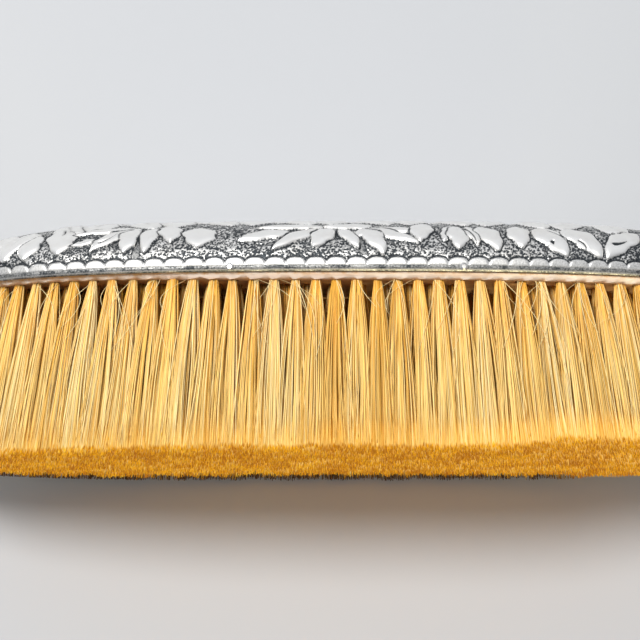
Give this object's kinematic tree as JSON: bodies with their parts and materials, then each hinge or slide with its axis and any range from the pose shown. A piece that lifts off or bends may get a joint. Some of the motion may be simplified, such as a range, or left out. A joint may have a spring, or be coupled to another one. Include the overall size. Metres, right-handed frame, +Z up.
{
  "type": "vanity clothes brush",
  "caption": "Oval vanity brush lying on its side: domed silver shell over a wooden core, pinned to a drilled stock with drawn rings of bristle tufts.",
  "frame": {"origin": "centre of the brush's outline on the floor it lies on: middle of its length and of its height from bristle tips to back, at the lowest point of the flank", "axes": "+X along the brush's length, +Y from the trimmed bristle tips towards the silver back, +Z up from the flank it lies on to the other flank"},
  "size_m": [0.1826, 0.0532, 0.057],
  "materials": {
    "silver": "satin",
    "pitch": "matte",
    "core_wood": "matte",
    "stock_wood": "satin",
    "bristle": "satin",
    "wire_brass": "satin"
  },
  "bodies": {
    "root": {"silver_back": "silver", "pitch_fill": "pitch", "core_board": "core_wood", "bristle_stock": "stock_wood", "bristle_row_1": "bristle", "bristle_row_2": "bristle", "bristle_row_3": "bristle", "bristle_row_4": "bristle", "bristle_row_5": "bristle", "draw_wire_1": "wire_brass", "draw_wire_2": "wire_brass", "draw_wire_3": "wire_brass", "draw_wire_4": "wire_brass", "draw_wire_5": "wire_brass", "rim_pin_1": "silver", "rim_pin_2": "silver", "rim_pin_3": "silver", "rim_pin_4": "silver", "rim_pin_5": "silver", "rim_pin_6": "silver", "rim_pin_7": "silver", "rim_pin_8": "silver"}
  },
  "joints": []
}
